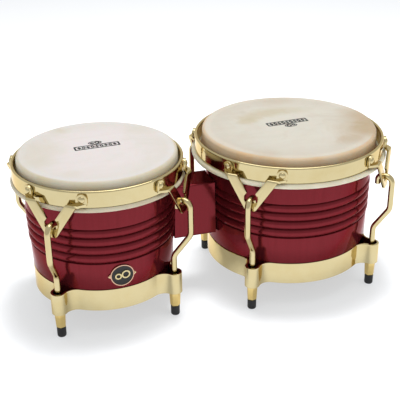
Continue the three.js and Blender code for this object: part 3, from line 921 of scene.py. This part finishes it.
def build_rod(drum, place, base):
    """Hook over the plate, down outside the rim, jog inwards, down through the ear."""
    upper, lower = base + drum.rim_turn, base + drum.ring_turn
    outside = drum.rim + ROD_OUT
    inside = outside - 2 * HOOK
    corners = [
        around(inside, upper, HOOK_TIP), around(inside, upper, HOOK_TOP),
        around(outside, upper, HOOK_TOP), around(outside, upper, JOG_TOP),
        around(drum.lug, lower, JOG_BOTTOM), around(drum.lug, lower, 17.0 * MM),
    ]
    path = rounded(corners, [0, HOOK, HOOK, 14 * MM, 14 * MM, 0], 14)
    obj = sweep(f"{drum.name}_tuning_rod_bar_{place}", path, ROD, 24, drum.x)
    body = f"{drum.name}_rim_assembly"
    finish_piece(obj, body, GOLD, "gold_plate", f"{drum.name}_tuning_rod_{place}")


def hexagon(radius, rounding, z, at):
    """Six flats with softened corners, one flat facing away from the drum's axis."""
    start = math.atan2(at.y, at.x) + TAU / 12
    turns = [start + TAU * k / 6 for k in range(6)]
    corners = [(radius * math.cos(a), radius * math.sin(a), 0) for a in turns]
    return [(p.x + at.x, p.y + at.y, z) for p in rounded(corners, rounding, 3, closed=True)]


def build_nut(drum, place, base):
    """A long tapered hexagon nut with a chamfered top and a small waist above its tip."""
    at = around(drum.lug, base + drum.ring_turn, 0)
    outside = [
        (5.7, 13.0), (6.1, 13.5), (6.2, 15.0), (6.8, 27.0), (6.9, 29.4), (6.6, 30.8), (6.0, 31.2),
    ]
    bm = bmesh.new()
    rings = []
    for radius, z in outside:
        rings.append([bm.verts.new(p) for p in hexagon(radius * MM, 1.1 * MM, z * MM, at)])
    for radius, z in ((4.3, 31.2), (4.3, 15.0)):
        ring = []
        for p in hexagon(5.0 * MM, 3.0 * MM, z * MM, at):
            d = Vector((p[0] - at.x, p[1] - at.y, 0)).normalized() * radius * MM
            ring.append(bm.verts.new((at.x + d.x, at.y + d.y, z * MM)))
        rings.append(ring)
    bridge(bm, rings)
    bm.faces.new(rings[0])
    bm.faces.new(rings[-1])
    obj = new_object(f"{drum.name}_tuning_nut_hex_{place}", bm, drum.x, 22)
    body = f"{drum.name}_nut_{place}"
    finish_piece(obj, body, SHADED_NUT_GOLD, "gold_plate", f"{drum.name}_tuning_nut_{place}")


def build_foot(drum, place, base):
    """A rubber cup under the nut, with a rounded tread."""
    outline = rounded(
        [(0, 0, 0), (4.7, 0, 0), (5.35, 1.6, 0), (5.4, 12.7, 0), (3.9, 12.7, 0), (0, 12.7, 0)],
        [0, 0.9, 2.0, 0.8, 0, 0], 5,
    )
    turned = [(p.x * MM, p.y * MM) for p in outline]
    obj = lathe(f"{drum.name}_rubber_tip_{place}", turned, 0, 40, 40)
    at = around(drum.lug, base + drum.ring_turn, 0)
    obj.data.transform(Matrix.Translation(at))
    obj.location.x = drum.x
    body = f"{drum.name}_nut_{place}"
    finish_piece(obj, body, RUBBER, "rubber", f"{drum.name}_rubber_foot_{place}")


# ---------------------------------------------------------------- centre block


def build_block():
    """A bar with rounded long edges and ends scooped to fit the shells."""
    corners = [
        (-BLOCK_HALF_WIDTH, BLOCK_BOTTOM, 0), (BLOCK_HALF_WIDTH, BLOCK_BOTTOM, 0),
        (BLOCK_HALF_WIDTH, BLOCK_TOP, 0), (-BLOCK_HALF_WIDTH, BLOCK_TOP, 0),
    ]
    section = rounded(corners, 2.0 * MM, 5, closed=True)
    loop = []
    for a, b in zip(section, section[1:] + section[:1]):
        parts = max(1, int((b - a).length / (3 * MM)))
        loop += [a.lerp(b, k / parts) for k in range(parts)]
    clear = 1.9 * MM

    def end(drum, y, z, side):
        return drum.x + side * math.sqrt((drum.shell_radius(z) + clear) ** 2 - y * y)

    bm = bmesh.new()
    stations = 9
    rings = []
    for k in range(stations):
        ring = []
        for p in loop:
            y, z = p.x, p.y
            left, right = end(SMALL, y, z, 1), end(LARGE, y, z, -1)
            ring.append(bm.verts.new((left + (right - left) * k / (stations - 1), y, z)))
        rings.append(ring)
    bridge(bm, rings)
    for ring, drum, side in ((rings[0], SMALL, 1), (rings[-1], LARGE, -1)):
        face = bm.faces.new(ring)
        bmesh.ops.inset_region(bm, faces=[face], thickness=4 * MM)
        for vert in face.verts:
            vert.co.x = end(drum, vert.co.y, vert.co.z, side)
    obj = new_object("centre_block_bar", bm, 0, 35)
    finish_piece(obj, "frame", LACQUER, "lacquered_wood", "centre_block")


# ---------------------------------------------------------------- badge and prints


def wrap_shape(name, outline, thickness, height, drum, azimuth, centre_z, holes=()):
    """A flat outline, in badge coordinates, raised and bent round the shell."""
    bm = filled_shape((outline, *holes))
    for face in bm.faces:
        if face.normal.z < 0:
            face.normal_flip()
    raise_shape(bm, thickness)
    for vert in bm.verts:
        u, v, w = vert.co
        z = centre_z + v
        radius = drum.shell_radius(z) + height + w
        a = math.radians(azimuth) + u / drum.shell_radius(centre_z)
        vert.co = (radius * math.cos(a), radius * math.sin(a), z)
    return new_object(name, bm, drum.x, 30)


PRINT_RISE = 0.08 * MM
PRINT_BASE = HEAD_TOP - 0.13 * MM
PRINT_AT = (2.2 * MM, 10.0 * MM)
BADGE_AZIMUTH = -87.1
BADGE_HEIGHT = 76.4 * MM
BADGE_RADIUS = 13.6 * MM


def build_badge():
    """Black disc, rose gold edge, and a plain motif: two drum heads side by side."""
    where = (SMALL, BADGE_AZIMUTH, BADGE_HEIGHT)
    disc = wrap_shape("badge_disc", circle(BADGE_RADIUS - 0.3 * MM), 1.1 * MM, GAP, *where)
    finish_piece(disc, "frame", ENAMEL, "black_enamel", "round_badge")
    small, large = (-4.7 * MM, -0.8 * MM), (4.0 * MM, 0.6 * MM)
    gold = [
        ("badge_edge", circle(BADGE_RADIUS), [circle(BADGE_RADIUS - 1.1 * MM)], 1.5 * MM, ROSE),
        ("badge_small_drum", circle(3.9 * MM, 40, *small), [circle(2.3 * MM, 40, *small)],
         1.3 * MM, GOLD),
        ("badge_large_drum", circle(5.1 * MM, 48, *large), [circle(3.4 * MM, 48, *large)],
         1.3 * MM, GOLD),
    ]
    for name, outline, holes, thickness, material in gold:
        piece = wrap_shape(name, outline, thickness, GAP, *where, holes)
        finish_piece(piece, "frame", material, "gold_plate")
    for side, name in ((-1, "left"), (1, "right")):
        near, tip = side * (BADGE_RADIUS - 0.8 * MM), side * 17.0 * MM
        corners = [(near, -3.2 * MM, 0), (tip, 0, 0), (near, 3.2 * MM, 0)]
        outline = [(p.x, p.y) for p in rounded(corners, [0.3 * MM, 1.2 * MM, 0.3 * MM], 4, True)]
        lug = wrap_shape(f"badge_lug_{name}", outline, 1.1 * MM, GAP, *where)
        finish_piece(lug, "frame", ROSE, "gold_plate")
        pin = wrap_shape(f"badge_pin_{name}", circle(0.9 * MM, 16, side * 14.9 * MM), 1.7 * MM,
                         GAP, *where)
        finish_piece(pin, "frame", GOLD, "gold_plate")


def print_shape(drum, name, outline, holes, place):
    """A printed shape standing a hair above the playing face."""
    loops = [[(x * MM, y * MM) for x, y in loop] for loop in (outline, *holes)]
    bm = filled_shape(loops)
    raise_shape(bm, PRINT_RISE)
    bm.transform(place)
    obj = new_object(f"{drum.name}_print_{name}", bm, drum.x, 30)
    finish_piece(obj, "frame", INK, "black_enamel")


def panel(across, high, rounding):
    """A rounded rectangle, given by its half width and half height."""
    corners = [(-across, -high, 0), (across, -high, 0), (across, high, 0), (-across, high, 0)]
    return [(p.x, p.y) for p in rounded(corners, rounding, 4, closed=True)]


def build_print(drum, turn):
    """A long banner with a row of plain ornaments, and an oval with two drums above it."""
    place = (
        Matrix.Translation((*PRINT_AT, PRINT_BASE))
        @ Matrix.Rotation(math.radians(turn), 4, "Z")
    )
    # The large drum's ornaments are bolder, so its band reads darker.
    dot_height, lozenge_height = (3.6, 3.9) if drum is LARGE else (2.9, 3.3)

    def make(name, outline, *holes):
        print_shape(drum, name, outline, holes, place)

    make("banner", panel(27.2, 5.8, 1.6), panel(25.0, 3.7, 0.8))
    for i in range(9):
        x = (i - 4) * 5.3
        if i % 2:
            hole = oval(0.7, 1.0, x, 0, 12)
            make(f"dot_{i}", oval(2.4, dot_height, x, 0, 20), hole)
        else:
            corners = [(x - 2.7, 0), (x, -lozenge_height), (x + 2.7, 0), (x, lozenge_height)]
            make(f"lozenge_{i}", corners)
    make("oval", oval(8.2, 5.0, 0, 11.2), oval(6.7, 3.7, 0, 11.2))
    make("oval_small_drum", oval(2.5, 2.5, -3.4, 10.8, 24), oval(0.8, 0.8, -3.4, 10.8, 16))
    make("oval_large_drum", oval(3.3, 3.3, 2.5, 11.3, 24), oval(1.3, 1.3, 2.5, 11.3, 16))


# ---------------------------------------------------------------- build everything

for drum in (SMALL, LARGE):
    build_shell(drum)
    build_head(drum)
    build_rim(drum)
    build_ring(drum)
    for place, base in LUGS.items():
        build_plate(drum, place, base)
        build_rod(drum, place, base)
        build_nut(drum, place, base)
        build_foot(drum, place, base)
build_print(SMALL, 2.0)
build_print(LARGE, 183.0)
build_block()
build_badge()

# What is left of the CAD is steel. The flesh hoops, hidden in the skins' wraps, keep plain edges.
for name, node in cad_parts.items():
    if node.hide_render:
        continue
    node.data.materials.clear()
    node.data.materials.append(STEEL)
    if "hoop" not in name:
        bevel(node)

# ---------------------------------------------------------------- stage, light and camera

bm = bmesh.new()
bmesh.ops.create_grid(bm, x_segments=2, y_segments=2, size=6.0)
floor = new_object("studio_floor", bm, 0, smooth=False)
paper = Look("white_paper").set(Specular_IOR_Level=0.0, Roughness=0.9, Emission_Strength=0.55)
paper.set(Emission_Color=(0.97, 0.985, 1.0, 1.0))
tone = paper.noise(3.0, 2.0)
paper.feed(paper.shader.inputs["Base Color"],
           paper.mix(tone, (0.33, 0.335, 0.345), (0.345, 0.348, 0.355)))
floor.data.materials.append(paper.material)

world = bpy.data.worlds.new("studio")
world.use_nodes = True
world.node_tree.nodes["Background"].inputs["Color"].default_value = (0.98, 0.99, 1.0, 1.0)
world.node_tree.nodes["Background"].inputs["Strength"].default_value = 0.74
bpy.context.scene.world = world


def softbox(name, location, target, size, power):
    """A rectangular area light aimed at a point."""
    data = bpy.data.lights.new(name, "AREA")
    data.shape = "RECTANGLE"
    data.size, data.size_y = size
    data.energy = power
    obj = bpy.data.objects.new(name, data)
    obj.location = location
    aim = (Vector(target) - Vector(location)).to_track_quat("-Z", "Y")
    obj.rotation_mode = "QUATERNION"
    obj.rotation_quaternion = aim
    bpy.context.collection.objects.link(obj)
    return obj


softbox("overhead_softbox", (0.15, 0.1, 1.5), (0, 0, 0), (1.4, 1.1), 11.0)

# A second softbox lights only the paper, as a photographer lights a white sweep.
backdrop = softbox("backdrop_softbox", (0.06, 0.1, 1.5), (0, 0, 0), (0.4, 0.4), 38.0)
paper_only = bpy.data.collections.new("paper_only")
paper_only.objects.link(floor)
backdrop.light_linking.receiver_collection = paper_only

# The camera's place, turn and lens come from fitting both drums' outlines in the photo.
FOCAL = 77.3
CAMERA_AT = Vector((SMALL.x - 0.1582, -0.9145, 0.5753))
YAW, PITCH, ROLL = 17.15, 25.80, -0.75
camera_data = bpy.data.cameras.new("camera")
camera_data.lens = FOCAL
camera_data.sensor_width = 36.0
camera_data.clip_start, camera_data.clip_end = 0.01, 50.0
camera = bpy.data.objects.new("camera", camera_data)
bpy.context.collection.objects.link(camera)
camera.matrix_world = (
    Matrix.Translation(CAMERA_AT)
    @ Matrix.Rotation(math.radians(-YAW), 4, "Z")
    @ Matrix.Rotation(math.radians(90 - PITCH), 4, "X")
    @ Matrix.Rotation(math.radians(ROLL), 4, "Z")
)
scene = bpy.context.scene
scene.camera = camera
scene.view_settings.view_transform = "Standard"
scene.view_settings.look = "None"
